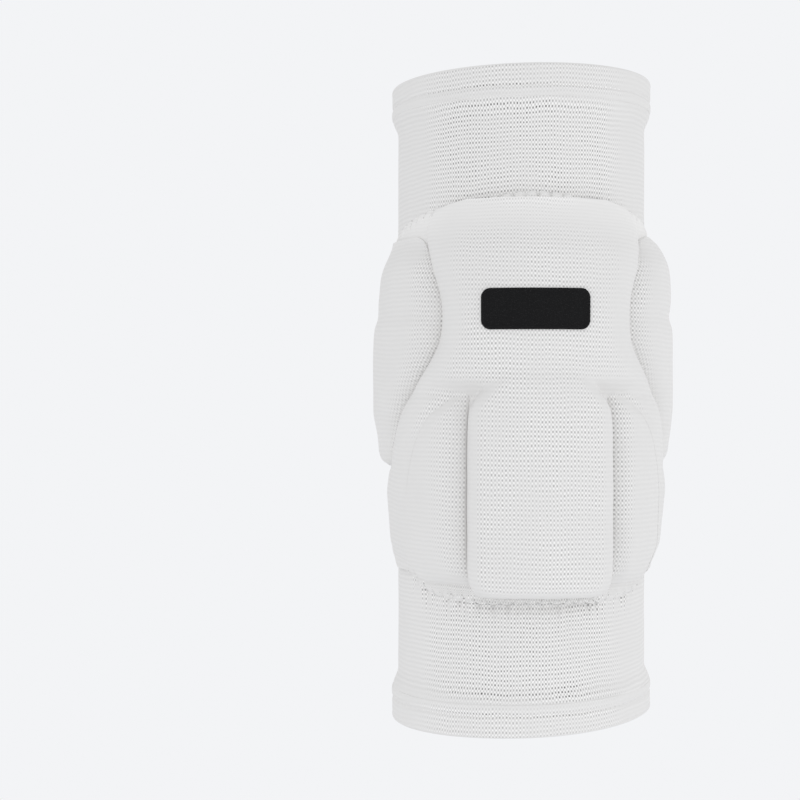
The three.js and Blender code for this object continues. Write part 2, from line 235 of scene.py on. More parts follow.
def pad_waves(angle, z):
    """The gentle unevenness that runs on over all the pads."""
    return 0.12 * ripple(angle, z, seed=11, size=16.0)


def puckers(angle, z, seed):
    """Small uneven folds that run down the leg, between about -1 and 1."""
    draw = np.random.default_rng(seed)
    total = 0 * (angle + z)
    for length in (2.8, 3.3, 4.1, 4.9, 6.3):
        phase = draw.uniform(0, 2 * math.pi)
        lean = draw.uniform(-0.25, 0.25)
        total = total + np.sin(2 * math.pi * (arc(angle) + lean * z) / length + phase)
    return total / 2.6


def to_points(angle, radius, z):
    """Points round the leg, in metres."""
    turn = np.radians(angle)
    return np.stack([radius * np.sin(turn), -radius * np.cos(turn), z + 0 * turn], axis=-1) * MM


def make_piece(name, points, faces, uvs, material):
    """An object from points in metres, four-sided faces and each corner's place in the knit."""
    mesh = bpy.data.meshes.new(name)
    used, faces = np.unique(faces, return_inverse=True)
    mesh.from_pydata(points[used].tolist(), [], faces.reshape(-1, 4).tolist())
    layer = mesh.uv_layers.new(name="knit")
    layer.data.foreach_set("uv", uvs.reshape(-1))
    mesh.materials.append(material)
    mesh.shade_smooth()
    mesh.set_sharp_from_angle(angle=math.radians(50))
    piece = bpy.data.objects.new(name, mesh)
    bpy.context.collection.objects.link(piece)
    return piece


def skin_piece(name, angle, outer, inner, z, knit, material, keep=None):
    """A closed piece between two skins over a grid whose rows run down the leg, with the cells in keep."""
    down, across = angle.shape
    if keep is None:
        keep = np.ones((down - 1, across - 1), bool)
    points = np.concatenate([to_points(angle, outer, z), to_points(angle, inner, z)]).reshape(-1, 3)
    depth = (outer - inner) / PAD_STITCH[1]
    inner_knit = knit + np.stack([0 * depth, -depth * np.sign(z)], axis=-1)
    knits = np.concatenate([knit, inner_knit]).reshape(-1, 2)
    back = down * across
    i, j = np.nonzero(keep)
    a = i * across + j
    quads = [np.stack([a, a + across, a + across + 1, a + 1], 1)]
    quads.append(back + np.stack([a, a + 1, a + across + 1, a + across], 1))
    padded = np.pad(keep, 1)
    centre = padded[1:-1, 1:-1]
    for beside, first, second in [
        (padded[:-2, 1:-1], 0, 1),
        (padded[2:, 1:-1], across + 1, across),
        (padded[1:-1, :-2], across, 0),
        (padded[1:-1, 2:], 1, across + 1),
    ]:
        i, j = np.nonzero(centre & ~beside)
        a = i * across + j
        quads.append(np.stack([a + first, a + second, back + a + second, back + a + first], 1))
    faces = np.concatenate(quads)
    return make_piece(name, points, faces, knits[faces], material)


def ring_piece(name, profile, knit_rows, material, columns, shape):
    """A closed ring round the leg from a closed profile of (radius, z) points, slanted towards its ends.
    Shape gives what is added to the radius from the angle, the height and the profile's row."""
    profile = np.array(profile, float)
    rows = len(profile)
    angle = np.linspace(-180, 180, columns + 1)[None, :]
    radius = profile[:, :1] + 0 * angle
    z = profile[:, 1:] + 0 * angle
    radius = radius + shape(angle, z, np.arange(rows)[:, None])
    side = np.sin(np.radians(angle))
    lower_slant = LOWER_SLANT * side + CORNER_LIFT * np.maximum(side, 0) ** 2
    slant = np.where(z > 0, UPPER_SLANT * side, lower_slant)
    z = z + slant * (z / HALF_LENGTH) ** 4
    points = to_points(angle, radius, z)[:, :-1].reshape(-1, 3)
    stitches = round(2 * math.pi * SLEEVE_RADIUS / SLEEVE_STITCH[0])
    across = angle[0] / 360 * stitches
    rising = SLEEVE_KNIT_RISE * SLEEVE_STITCH[0] / SLEEVE_STITCH[1] * across
    i, j = [grid.reshape(-1) for grid in np.meshgrid(range(rows), range(columns), indexing="ij")]
    faces = []
    uvs = []
    for di, dj in [(0, 0), (1, 0), (1, 1), (0, 1)]:
        faces.append((i + di) % rows * columns + (j + dj) % columns)
        uvs.append(np.stack([across[j + dj], knit_rows[i + di] - rising[j + dj]], 1))
    return make_piece(name, points, np.stack(faces, 1), np.stack(uvs, 1), material)


# Node graphs


class Graph:
    """A material's nodes. What goes into a node is a number, a vector or another node's output."""

    def __init__(self, name):
        self.material = bpy.data.materials.new(name)
        self.material.use_nodes = True
        self.tree = self.material.node_tree
        self.shader = self.tree.nodes["Principled BSDF"]

    def link(self, value, socket):
        if hasattr(value, "is_output"):
            self.tree.links.new(value, socket)
        elif value is not None:
            socket.default_value = value

    def node(self, kind, inputs=(), output=0, **settings):
        made = self.tree.nodes.new(kind)
        for setting, value in settings.items():
            setattr(made, setting, value)
        for key, value in dict(inputs).items():
            self.link(value, made.inputs[key])
        return made.outputs[output]

    def math(self, operation, a, b=None, c=None):
        return self.node("ShaderNodeMath", {0: a, 1: b, 2: c}, operation=operation)

    def vector(self, operation, a, b=None):
        key = "Scale" if operation == "SCALE" else 1
        output = "Value" if operation == "DOT_PRODUCT" else 0
        return self.node("ShaderNodeVectorMath", {0: a, key: b}, output, operation=operation)

    def part(self, vector, index):
        """One of a vector's three numbers."""
        split = self.tree.nodes.new("ShaderNodeSeparateXYZ")
        self.link(vector, split.inputs[0])
        return split.outputs[index]

    def wave(self, value):
        """1 at whole numbers and -1 halfway between them."""
        return self.math("COSINE", self.math("MULTIPLY", value, 2 * math.pi))

    def band(self, value, centre, width):
        """1 at a value and nearly 0 more than twice the width away."""
        away = self.math("DIVIDE", self.math("SUBTRACT", value, centre), width)
        return self.math("EXPONENT", self.math("MULTIPLY", self.math("MULTIPLY", away, away), -1.0))

    def noise(self, vector, scale, detail=2.0, output=0):
        inputs = {"Vector": vector, "Scale": scale, "Detail": detail, "Roughness": 0.5}
        return self.node("ShaderNodeTexNoise", inputs, output=output, noise_dimensions="3D")

    def range(self, value, low, high, to_low, to_high):
        """A smooth change from to_low at low to to_high at high."""
        inputs = {0: value, 1: low, 2: high, 3: to_low, 4: to_high}
        return self.node("ShaderNodeMapRange", inputs, interpolation_type="SMOOTHSTEP")

    def mix(self, factor, a, b):
        made = self.tree.nodes.new("ShaderNodeMix")
        made.data_type = "RGBA"
        self.link(factor, made.inputs["Factor"])
        self.link(a, made.inputs["A"])
        self.link(b, made.inputs["B"])
        return made.outputs["Result"]


# The knit's colour, and how much its tone changes with its rows, its columns and each stitch. These changes
# are painted shade in the pits and between the rows and painted highlight on the loops; the same pattern
# gives the bump.
KNIT_WHITE = (1.0, 0.99, 0.974)
ROW_TONE = 0.08
COLUMN_TONE = 0.03
STITCH_TONE = 0.22

# The way that the knit faces where its painted pit shade, painted loop highlight and bump are strongest
KNIT_FRONT = (-0.12, -0.993, 0)

# Bands near the ends where the pits are shallower or deeper, in bump and in painted shade: painted highlight
# over the hem's ridge, painted shade in its groove and just below its edge. The distance from the sleeve's
# middle, the width and the change in depth
HEM_SHADE_BANDS = ((113.2, 1.8, -0.75), (116.8, 0.8, 1.2), (109.4, 0.9, 0.6), (106.6, 0.6, 0.3))

# The height over which painted light comes in near the top: the knit is painted whiter there and its pits
# grow shallower
TOP_LIGHT_RISE = 15.0


def knit_material(name, whiteness, pits, faces_front, top_light_above=200.0):
    """Rows of loops with a small open pit in the middle of each stitch. The pits and rows are drawn both as
    bump and as painted shade in the colour, with painted highlight on the loops. These are strongest where
    the knit faces the way of KNIT_FRONT and fade where it turns away, between the two values of faces_front.
    From the height in the last argument up, the knit has painted light: it is whiter and its pits are
    shallower. One unit of the knit map is one stitch."""
    graph = Graph(name)
    knit = graph.node("ShaderNodeUVMap", uv_map="knit")
    wander = graph.vector("SUBTRACT", graph.noise(knit, 0.05, 1.0, output="Color"), (0.5, 0.5, 0.5))
    wobble = graph.vector("SUBTRACT", graph.noise(knit, 0.6, 0.0, output="Color"), (0.5, 0.5, 0.5))
    moved = graph.vector("ADD", knit, graph.vector("SCALE", wander, 1.3))
    moved = graph.vector("ADD", moved, graph.vector("SCALE", wobble, 0.3))
    column = graph.wave(graph.part(moved, 0))
    row = graph.wave(graph.part(moved, 1))
    cell = graph.vector("FLOOR", moved)
    chance = graph.node("ShaderNodeTexWhiteNoise", {"Vector": cell}, noise_dimensions="2D")
    normal = graph.node("ShaderNodeNewGeometry", output="Normal")
    # How squarely the knit faces KNIT_FRONT, which sets how strong the painted pit shade, the painted loop
    # highlight and the bump are
    ahead = graph.vector("DOT_PRODUCT", normal, KNIT_FRONT)
    shade_and_relief_facing = graph.range(ahead, *faces_front, 0.0, 1.0)
    patchy = graph.noise(knit, 0.06, 2.0)
    height = graph.part(graph.node("ShaderNodeTexCoord", output="Object"), 2)
    level = graph.math("ABSOLUTE", height)
    amount = graph.math("MULTIPLY_ADD", chance, 0.6, 0.7)
    amount = graph.math("MULTIPLY", amount, graph.range(patchy, 0.3, 0.7, 0.75, 1.25))
    amount = graph.math("MULTIPLY", amount, pits)
    # Painted shade in the hem's groove and below its edge, and painted highlight on its ridge, by deepening
    # and easing the pits there
    rows = 1.0
    for place, width, change in HEM_SHADE_BANDS:
        rows = graph.math("MULTIPLY_ADD", graph.band(level, place * MM, width * MM), change, rows)
    amount = graph.math("MULTIPLY", amount, rows)
    # Painted light near the top: from the given height up the knit is painted whiter, and its pits, bump and
    # painted shade alike, are a quarter shallower
    painted_top_light = graph.range(height, top_light_above * MM, (top_light_above + TOP_LIGHT_RISE) * MM, 0.0, 1.0)
    amount = graph.math("MULTIPLY", amount, graph.math("MULTIPLY_ADD", painted_top_light, -0.25, 1.0))
    # The relief is the bump's height, and it also goes into the colour as painted shade in the pits and
    # between the rows and painted highlight on the loops
    row_tone = graph.math("MULTIPLY_ADD", shade_and_relief_facing, 0.78 * ROW_TONE, 0.22 * ROW_TONE)
    row_part = graph.math("MULTIPLY", row, row_tone)
    column_part = graph.math("MULTIPLY", column, graph.math("MULTIPLY", shade_and_relief_facing, COLUMN_TONE))
    stitch_part = graph.math("MULTIPLY", graph.math("MULTIPLY", row, column), shade_and_relief_facing)
    relief_and_painted_shade = graph.math("ADD", row_part, column_part)
    relief_and_painted_shade = graph.math("MULTIPLY_ADD", stitch_part, -STITCH_TONE, relief_and_painted_shade)
    relief_and_painted_shade = graph.math("MULTIPLY", relief_and_painted_shade, amount)
    tone = graph.math("MULTIPLY_ADD", patchy, 0.03, whiteness)
    # Painted light near the top
    tone = graph.math("MULTIPLY_ADD", painted_top_light, 0.07, tone)
    # Painted shade and painted highlight from the relief
    tone = graph.math("ADD", tone, relief_and_painted_shade)
    tone = graph.node("ShaderNodeClamp", {0: tone, 1: 0.1, 2: 0.97})
    color = graph.mix(tone, (0, 0, 0, 1), (*KNIT_WHITE, 1))
    graph.link(color, graph.shader.inputs["Base Color"])
    bump = graph.node("ShaderNodeBump", {"Strength": 0.5, "Distance": 0.3 * MM, "Height": relief_and_painted_shade})
    graph.link(bump, graph.shader.inputs["Normal"])
    graph.shader.inputs["Roughness"].default_value = 0.95
    graph.shader.inputs["Specular IOR Level"].default_value = 0.2
    graph.shader.inputs["Sheen Weight"].default_value = 0.05
    graph.shader.inputs["Sheen Roughness"].default_value = 0.5
    return graph.material


WHITE_KNIT = knit_material("white_knit", whiteness=0.742, pits=1.15, faces_front=(0.6, 0.87))
# The padded knit is painted lighter towards the top, from 56 mm up
PADDED_KNIT = knit_material("padded_knit", whiteness=0.74, pits=0.75, faces_front=(0.7, 0.96),
                            top_light_above=56.0)
HEM_KNIT = knit_material("hem_knit", whiteness=0.745, pits=0.65, faces_front=(0.62, 0.88))


def thread_material(name, color, roughness):
    """Spun thread, with painted shade between its fibres: random flecks a little darker."""
    graph = Graph(name)
    place = graph.node("ShaderNodeTexCoord", output="Object")
    # Painted shade between the fibres, as random darker flecks
    fibre = graph.noise(place, 1500.0, 1.0)
    fibre_shade = tuple(0.85 * part for part in color)
    graph.link(graph.mix(fibre, (*fibre_shade, 1), (*color, 1)), graph.shader.inputs["Base Color"])
    graph.shader.inputs["Roughness"].default_value = roughness
    return graph.material


WHITE_THREAD = thread_material("white_thread", (0.82, 0.82, 0.81), 0.8)


def embroidery_material():
    """Black satin stitch: fine slanted threads, in rows, with a painted sheen in lighter flecks along their
    crests.
    """
    graph = Graph("black_embroidery")
    knit = graph.node("ShaderNodeUVMap", uv_map="knit")
    slant = graph.math("MULTIPLY_ADD", graph.part(knit, 0), 0.12, graph.part(knit, 1))
    thread = graph.math("MULTIPLY_ADD", graph.wave(graph.math("MULTIPLY", slant, 2.4)), 0.5, 0.5)
    frayed = graph.noise(knit, 3.0, 2.0)
    height = graph.math("ADD", thread, graph.math("MULTIPLY", frayed, 0.7))
    bump = graph.node("ShaderNodeBump", {"Strength": 0.6, "Distance": 0.12 * MM, "Height": height})
    graph.link(bump, graph.shader.inputs["Normal"])
    # Painted sheen: the threads' crests are a little lighter in flecks
    sheen_flecks = graph.range(frayed, 0.5, 0.72, 0.0, 1.0)
    tone = graph.math("MULTIPLY", thread, sheen_flecks)
    color = graph.mix(tone, (0.004, 0.004, 0.0045, 1), (0.035, 0.035, 0.036, 1))
    graph.link(color, graph.shader.inputs["Base Color"])
    graph.shader.inputs["Roughness"].default_value = 0.7
    graph.shader.inputs["Specular IOR Level"].default_value = 0.15
    return graph.material


# The pads


def centre_edge(up):
    """The angle of the middle pad's side."""
    return read_table(CENTRE_EDGES, "up", "edge", up) * PANEL_WRAP


def flank(column, up):
    """A column of the lobes' and arms' table."""
    return read_table(FLANK_ROWS, "up", column, up)


def block_edge(up):
    """Half of the angle that the block covers, where lobes stand beside it."""
    return BLOCK_HALF_ANGLE * np.where(up < -0.5, read_table(BLOCK_ROWS, "up", "width", up), 1)


def knee_height(angle, up):
    """The dome over the kneecap, whose side is rounder and thinner near its top."""
    near_top = ramp(up, 0.6, 0.2)
    rounding = 17.0 + 5.0 * near_top
    stand = 0.3 - 0.25 * near_top
    side = rounded_side(arc(centre_edge(up) - angle), rounding, stand, softness=0.9)
    return KNEE_THICK * read_table(KNEE_ROWS, "up", "thick", up) * side


def block_height(angle, up):
    """The block under the dome, with a slope outside its sides."""
    half = BLOCK_HALF_ANGLE * read_table(BLOCK_ROWS, "up", "width", up)
    body = BLOCK_THICK * read_table(BLOCK_ROWS, "up", "thick", up)
    distance = arc(half - angle)
    inside = body * rounded_side(distance, rounding=7.0, stand=0.5, softness=0.75)
    slope = 0.9 + 1.6 * smoothstep(0.5 - up / 0.1)
    return np.where(distance > 0, inside, inside + slope * distance)


def flank_height(angle, up):
    """The one rounded surface that a lobe and its arm make, with a groove between them near their tops."""
    lobe = LOBE_THICK * flank("lobe", up)
    arm = ARM_THICK * flank("arm", up)
    outward = ramp(angle, 33, 38)
    to_edge = arc(centre_edge(up) - angle)
    rear = rounded_side(to_edge, flank("round", up), flank("stand", up), softness=0.7)
    front = rounded_side(arc(angle - BLOCK_HALF_ANGLE), rounding=8.0, stand=0.6, softness=0.6)
    from_split = arc(angle - flank("split", up) * PANEL_WRAP)
    groove = flank("crease", up) * hump(from_split, 3.2)
    return (lobe + (arm - lobe) * outward) * rear * front - groove


def centre_height(angle, up):
    """The middle pad's foam above its seat, where angle is measured to either side."""
    arms = flank_height(angle, up) * ramp(angle, 10, 14)
    upper = soft_max(knee_height(angle, up), arms, 1.6)
    return soft_max(upper, block_height(angle, up), 1.2 + 3.0 * ramp(up, 0, 0.1))


def flatter_arm(angle, up):
    """How much flatter the left arm lies than the right one, which bulges more."""
    return 1.6 * ramp(-angle, 50, 30) * ramp(-up, 0.3, 0.12)


def sewn_down(angle, up):
    """Where the foam's edge sinks into the panel: along the knee's top and at the arms' feet."""
    top = ramp(up, 0.84, 0.1)
    foot = ramp(np.abs(angle), 40, 12) * ramp(-up, 0.76, 0.06)
    return np.maximum(top, foot)


def side_height(angle, up, side):
    """A side pad's foam above its seat. The left one lies flatter towards its top and its foot."""
    thick = SIDE_THICK * read_table(SIDE_ROWS, "up", "thick", up)
    if side < 0:
        thick = thick - 1.6 * ramp(up, 0.35, 0.25) - 1.7 * ramp(up, 0.6, 0.15)
        thick = thick - 1.4 * ramp(-up, 0.05, 0.15)
    start = centre_edge(up) + read_table(SIDE_ROWS, "up", "inset", up) * PANEL_WRAP
    rear = read_table(SIDE_ROWS, "up", "rear", up) * PANEL_WRAP
    front_side = rounded_side(arc(angle - start), rounding=14.0, stand=0.25, softness=0.75)
    rear_side = rounded_side(arc(rear - angle), rounding=40.0, stand=0.06)
    return np.maximum(thick, 0) * front_side * rear_side


def knit_down(z):
    """Distance along the middle of the pads from their centre, for the knit's rows."""
    fine = np.linspace(-PANEL_TOP, PANEL_TOP, 621)
    height = centre_height(np.zeros_like(fine), fine / PANEL_TOP)
    steps = np.hypot(np.diff(fine), np.diff(height))
    along = np.concatenate([[0], np.cumsum(steps)])
    along -= np.interp(0, fine, along)
    return np.interp(z, fine, along)


def pad_knit(angle, z):
    """Places in the knit over the pads and the panel, in stitches."""
    across = arc(angle, PAD_KNIT_RADIUS)
    rows = knit_down(z) + PAD_KNIT_RISE * across
    return np.stack([across / PAD_STITCH[0], rows / PAD_STITCH[1]], axis=-1)


def levels(top, foot, spacing):
    """Heights from top to foot, closer together at both ends."""
    count = max(4, round((top - foot) / spacing))
    share = np.linspace(0, 1, count + 1)
    share = share - np.sin(2 * math.pi * share) / (2 * math.pi) * 0.75
    return top + (foot - top) * share


def spread(start, end, count, rounded=0.6):
    """Columns between two sides for each row, closer together at the sides."""
    share = np.linspace(0, 1, count + 1)
    share = share - np.sin(2 * math.pi * share) / (2 * math.pi) * rounded
    return start[:, None] + (end - start)[:, None] * share[None, :]


def make_centre_pad():
    """The dome, the block and the arms in one foam. The lobes' places are left out of its grid, and so is
    what would be below the arms."""
    lobe_top = LOBE_TOP * PANEL_TOP
    upper = levels(CENTRE_TOP * PANEL_TOP, lobe_top, spacing=0.9)
    lower = levels(lobe_top, CENTRE_FOOT * PANEL_TOP, spacing=0.85)[1:]
    z = np.concatenate([upper, lower])
    up = z / PANEL_TOP
    edge = centre_edge(up)
    split = np.minimum(flank("split", up) * PANEL_WRAP, edge - 1.5)
    block = np.minimum(block_edge(up), split - 0.5)
    arm_cols = 44
    lobe_cols = 6
    block_cols = 80
    lobe = spread(block, split, lobe_cols, 0)[:, 1:]
    arm = spread(split, edge, arm_cols)[:, 1:]
    right = np.concatenate([lobe, arm], axis=1)
    middle = spread(-block, block, block_cols)
    angle = np.concatenate([-right[:, ::-1], middle, right], axis=1)
    height = centre_height(np.abs(angle), up[:, None]) - flatter_arm(angle, up[:, None])
    sunk = sewn_down(angle, up[:, None])
    thin = smoothstep(1.2 - height / 1.5)
    outer = SEAT_RADIUS + np.maximum(height, CENTRE_EDGE_HEIGHT) - 0.85 * sunk * thin
    outer = outer + pad_waves(angle, z[:, None]) * ramp(height, 0, 4)
    inner = SEAT_RADIUS - SEWN_DEPTH - SUNK_DEPTH * sunk
    keep = np.ones((len(z) - 1, angle.shape[1] - 1), bool)
    first_low = len(upper) - 1
    keep[first_low:, arm_cols:arm_cols + lobe_cols] = False
    keep[first_low:, -(arm_cols + lobe_cols):-arm_cols] = False
    arm_foot = np.nonzero(up < ARM_FOOT)[0][0]
    keep[arm_foot:, :arm_cols] = False
    keep[arm_foot:, -arm_cols:] = False
    grid_z = z[:, None] + 0 * angle
    knit = pad_knit(angle, grid_z)
    piece = skin_piece("centre_pad_foam", angle, outer, inner, grid_z, knit, PADDED_KNIT, keep)
    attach(piece, "root")
    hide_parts("centre_pad")


def make_side_piece(name, side, angle, height, z, node):
    """A foam at one side, mirrored for the left."""
    outer = SEAT_RADIUS + np.maximum(height, SIDE_EDGE_HEIGHT)
    if side < 0:
        angle, outer, z, height = [part[:, ::-1] for part in (-angle, outer, z, height)]
    outer = outer + pad_waves(angle, z) * ramp(height, 0, 4)
    inner = SEAT_RADIUS - SEWN_DEPTH + 0 * angle
    piece = skin_piece(name, angle, outer, inner, z, pad_knit(angle, z), PADDED_KNIT)
    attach(piece, "root")
    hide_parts(node)


def make_lobe(place, side):
    """The narrow foam beside the block, which joins the dome's surface at its top."""
    z = levels(LOBE_TOP * PANEL_TOP + PRESSED, LOBE_FOOT * PANEL_TOP, spacing=0.8)
    up = z / PANEL_TOP
    start = block_edge(up) - degrees(PRESSED)
    end = flank("split", up) * PANEL_WRAP
    angle = spread(start, end, 34, 0.3)
    grid_z = z[:, None] + 0 * angle
    crease_start = 0.07 if side > 0 else 0.03
    joined = ramp(up[:, None], -crease_start, crease_start + LOBE_TOP)
    height = flank_height(angle, up[:, None])
    height = height + (centre_height(angle, up[:, None]) - height) * joined
    make_side_piece(f"{place}_shin_lobe_foam", side, angle, height, grid_z, f"{place}_shin_lobe")


def make_side_pad(place, side):
    """The crescent of foam beside the dome."""
    z = levels(SIDE_TOP[place] * PANEL_TOP, SIDE_FOOT * PANEL_TOP, spacing=0.8)
    up = z / PANEL_TOP
    start = centre_edge(up) - degrees(PRESSED) + read_table(SIDE_ROWS, "up", "inset", up) * PANEL_WRAP
    end = read_table(SIDE_ROWS, "up", "rear", up) * PANEL_WRAP
    angle = spread(start, end, 80)
    grid_z = z[:, None] + 0 * angle
    height = side_height(angle, up[:, None], side)
    make_side_piece(f"{place}_side_pad_foam", side, angle, height, grid_z, f"{place}_side_pad")


# The sleeve, its hems, the panel and the seam


def panel_reach(angle, end):
    """How far up (end 1) or down (end -1) the panel reaches at an angle."""
    column = "top" if end > 0 else "foot"
    return read_table(PANEL_OUTLINE, "around", column, np.abs(angle) / PANEL_WRAP) * PANEL_TOP


def panel_fall(inset, angle):
    """How far the panel's surface drops towards its sewn edge, more gently at its corners."""
    corner = ramp(np.abs(angle), 50, 20)
    return 2.0 * np.exp(-np.clip(inset, 0, None) / (1.3 + 1.7 * corner))


def under_block(angle, z, level, width):
    """Where the knit is drawn in at a level below the block."""
    return hump(z - level, width) * smoothstep((31 - np.abs(angle)) / 6)


def scallop(length):
    """The bumps between the seam's stitches, 1 halfway and 0 at each stitch."""
    return np.abs(np.sin(math.pi * length / SEAM_PITCH)) ** 0.6


def seam_mood(angle, end):
    """How loosely the seam is gathered, which changes along it."""
    across = arc(angle)
    mood = 0.65 + 0.35 * np.sin(across * 0.31 + 1.3 * end) * np.sin(across * 0.113 + 0.7)
    if end < 0:
        mood = mood + 0.8 * hump(angle + 28, 20) + 0.6 * hump(angle - 27, 9)
    return mood


def make_panel():
    """The knit that carries the pads, scalloped, rolled and pinched along its seam."""
    half = arc(PANEL_WRAP)
    columns = 8 * SEAM_STITCHES
    angle = np.linspace(-PANEL_WRAP, PANEL_WRAP, columns + 1)[None, :]
    share = levels(1, -1, spacing=1 / 55)[:, None]
    across = arc(angle)
    bumps = scallop(across)
    reach = np.where(share > 0, panel_reach(angle, 1), panel_reach(angle, -1)) + 0.7 * (bumps - 0.5)
    z = share * reach
    inset = np.minimum(reach - np.abs(z), half - np.abs(across))
    mood = np.where(share > 0, seam_mood(angle, 1), seam_mood(angle, -1))
    rolled = hump(inset - 1.6, 1.2) * bumps
    pinched = np.exp(-inset / 1.6) * (1 - bumps) * mood
    folds = mood * puckers(angle, z, 8) * np.exp(-inset / 3.5)
    depth = 0.9 + 1.5 * (share > 0) * hump(angle, 45)
    drawn_in = 2.0 * under_block(angle, z, level=-74.0, width=1.7)
    radius = PANEL_RADIUS - panel_fall(inset, angle) + 0.4 * rolled - depth * pinched
    radius = radius + 0.3 * folds + 0.1 * ripple(angle, z, seed=5, size=15.0) - drawn_in
    grid_angle = angle + 0 * z
    inner = SLEEVE_RADIUS + 0.05 + 0 * z
    radius = np.maximum(radius, inner + 0.2)
    knit = pad_knit(grid_angle, z)
    piece = skin_piece("front_panel_knit", grid_angle, radius, inner, z, knit, PADDED_KNIT)
    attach(piece, "root")
    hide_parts("front_panel")
    return piece


def gathers(angle, z, end, fading):
    """Small uneven folds in the sleeve just outside a seam."""
    away = end * z - panel_reach(angle, end)
    fade = np.exp(-np.clip(away, 0, None) / fading) * (away > -2.5)
    inside = np.abs(angle) < PANEL_WRAP - 4
    return puckers(angle, z, 30 + end) * seam_mood(angle, end) * fade * inside


def make_sleeve():
    """The tube, whose ends are inside the hems. Its rows are closest together along the panel's seams."""
    sleeve_end = 123.1
    half = np.concatenate([
        np.linspace(0, 64, 9, endpoint=False),
        np.linspace(64, 84, 38, endpoint=False),
        np.linspace(84, 105, 10, endpoint=False),
        np.linspace(105, 113.3, 10),
        np.linspace(113.4, sleeve_end, 5),
    ])
    outer_z = np.concatenate([-half[:0:-1], half])
    inner_z = np.linspace(sleeve_end, -sleeve_end, 22)
    hem_edge = HALF_LENGTH - HEM_HEIGHT

    def flare(z, height):
        """How the tube widens to its hems, and lies inside them."""
        away = hem_edge - np.abs(z)
        return np.where(away > -0.9, height * smoothstep(1 - (away + 0.3) / 7), 0.8)

    outer = np.stack([SLEEVE_RADIUS + flare(outer_z, 2.1), outer_z], 1)
    inner = np.stack([SLEEVE_RADIUS - SLEEVE_WALL + flare(inner_z, 0.8), inner_z], 1)
    profile = np.concatenate([outer, inner])
    count = len(outer_z)

    def shape(angle, z, row):
        waves = 0.14 * ripple(angle, z, seed=3, size=30.0) + 0.06 * ripple(angle, z, seed=4, size=11.0)
        upper_folds = 0.25 * gathers(angle, z, 1, fading=3.0)
        lower_folds = 0.5 * gathers(angle, z, -1, fading=4.5)
        drawn_in = 0.9 * under_block(angle, z, level=-76.3, width=2.2)
        return np.where(row < count, waves + (upper_folds + lower_folds) - drawn_in, waves)

    rows = np.concatenate([outer_z, inner_z, outer_z[:1]]) / SLEEVE_STITCH[1]
    piece = ring_piece("sleeve_knit", profile, rows, WHITE_KNIT, columns=580, shape=shape)
    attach(piece, "root")
    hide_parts("sleeve")
    return piece


def make_hem(name, node, end):
    """A cuff folded over the sleeve's end, drawn as radii at depths from that end."""
    leg = SLEEVE_RADIUS + 1.05
    inside = SLEEVE_RADIUS - SLEEVE_WALL + 0.8
    proud = HEM_RADIUS
    middle = (inside + proud) / 2
    half = (proud - inside) / 2
    outline = [(leg, 2.4), (inside, 2.4)]
    for step in range(15):
        turn = math.pi * step / 14
        outline.append((middle - half * math.cos(turn), 1.9 - 1.9 * math.sin(turn) ** 0.8))
    for depth in np.linspace(2.3, 11.9, 40):
        groove = 0.5 * hump(depth - HEM_GROOVE, 0.7)
        ridge = 0.15 * hump(depth - HEM_RIDGE, 1.2)
        outline.append((proud - 0.12 - groove + ridge, depth))
    outline += [(proud - 0.2, 12.2), (proud - 0.4, 12.45), (leg, HEM_HEIGHT)]
    profile = [(r, end * (HALF_LENGTH - depth)) for r, depth in outline]
    if end > 0:
        profile.reverse()
    profile = np.array(profile)
    steps = np.hypot(*np.diff(profile, axis=0).T)
    rows = np.concatenate([[0], np.cumsum(steps)]) / SLEEVE_STITCH[1]
    rows = np.concatenate([rows, rows[:1]])

    def shape(angle, z, row):
        stitch = np.cos(2 * math.pi * arc(angle, HEM_RADIUS) / 2.6)
        near = hump(HALF_LENGTH - end * z - HEM_GROOVE, 0.6)
        waves = 0.12 * ripple(angle, z, seed=7 + end, size=22.0) + 0.12 * stitch * near
        return np.where(profile[:, :1] > proud - 0.9, waves, 0)

    piece = ring_piece(name, profile, rows, HEM_KNIT, columns=440, shape=shape)
    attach(piece, "root")
    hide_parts(node)
    return piece


def tube(points, thickness, sides=5):
    """Points and faces of a round thread along a closed path."""
    forward = np.roll(points, -1, axis=0) - np.roll(points, 1, axis=0)
    forward /= np.linalg.norm(forward, axis=1)[:, None]
    outward = points * [1, 1, 0]
    across = np.cross(forward, outward)
    across /= np.linalg.norm(across, axis=1)[:, None]
    lift = np.cross(across, forward)
    ring = []
    for side in range(sides):
        turn = 2 * math.pi * side / sides
        ring.append(points + thickness / 2 * (math.cos(turn) * across + math.sin(turn) * lift))
    count = len(points)
    verts = np.stack(ring, 1).reshape(-1, 3)
    i, k = [grid.reshape(-1) for grid in np.meshgrid(range(count), range(sides), indexing="ij")]
    ahead = (i + 1) % count
    after = (k + 1) % sides
    faces = [i * sides + k, ahead * sides + k, ahead * sides + after, i * sides + after]
    return verts, np.stack(faces, 1)


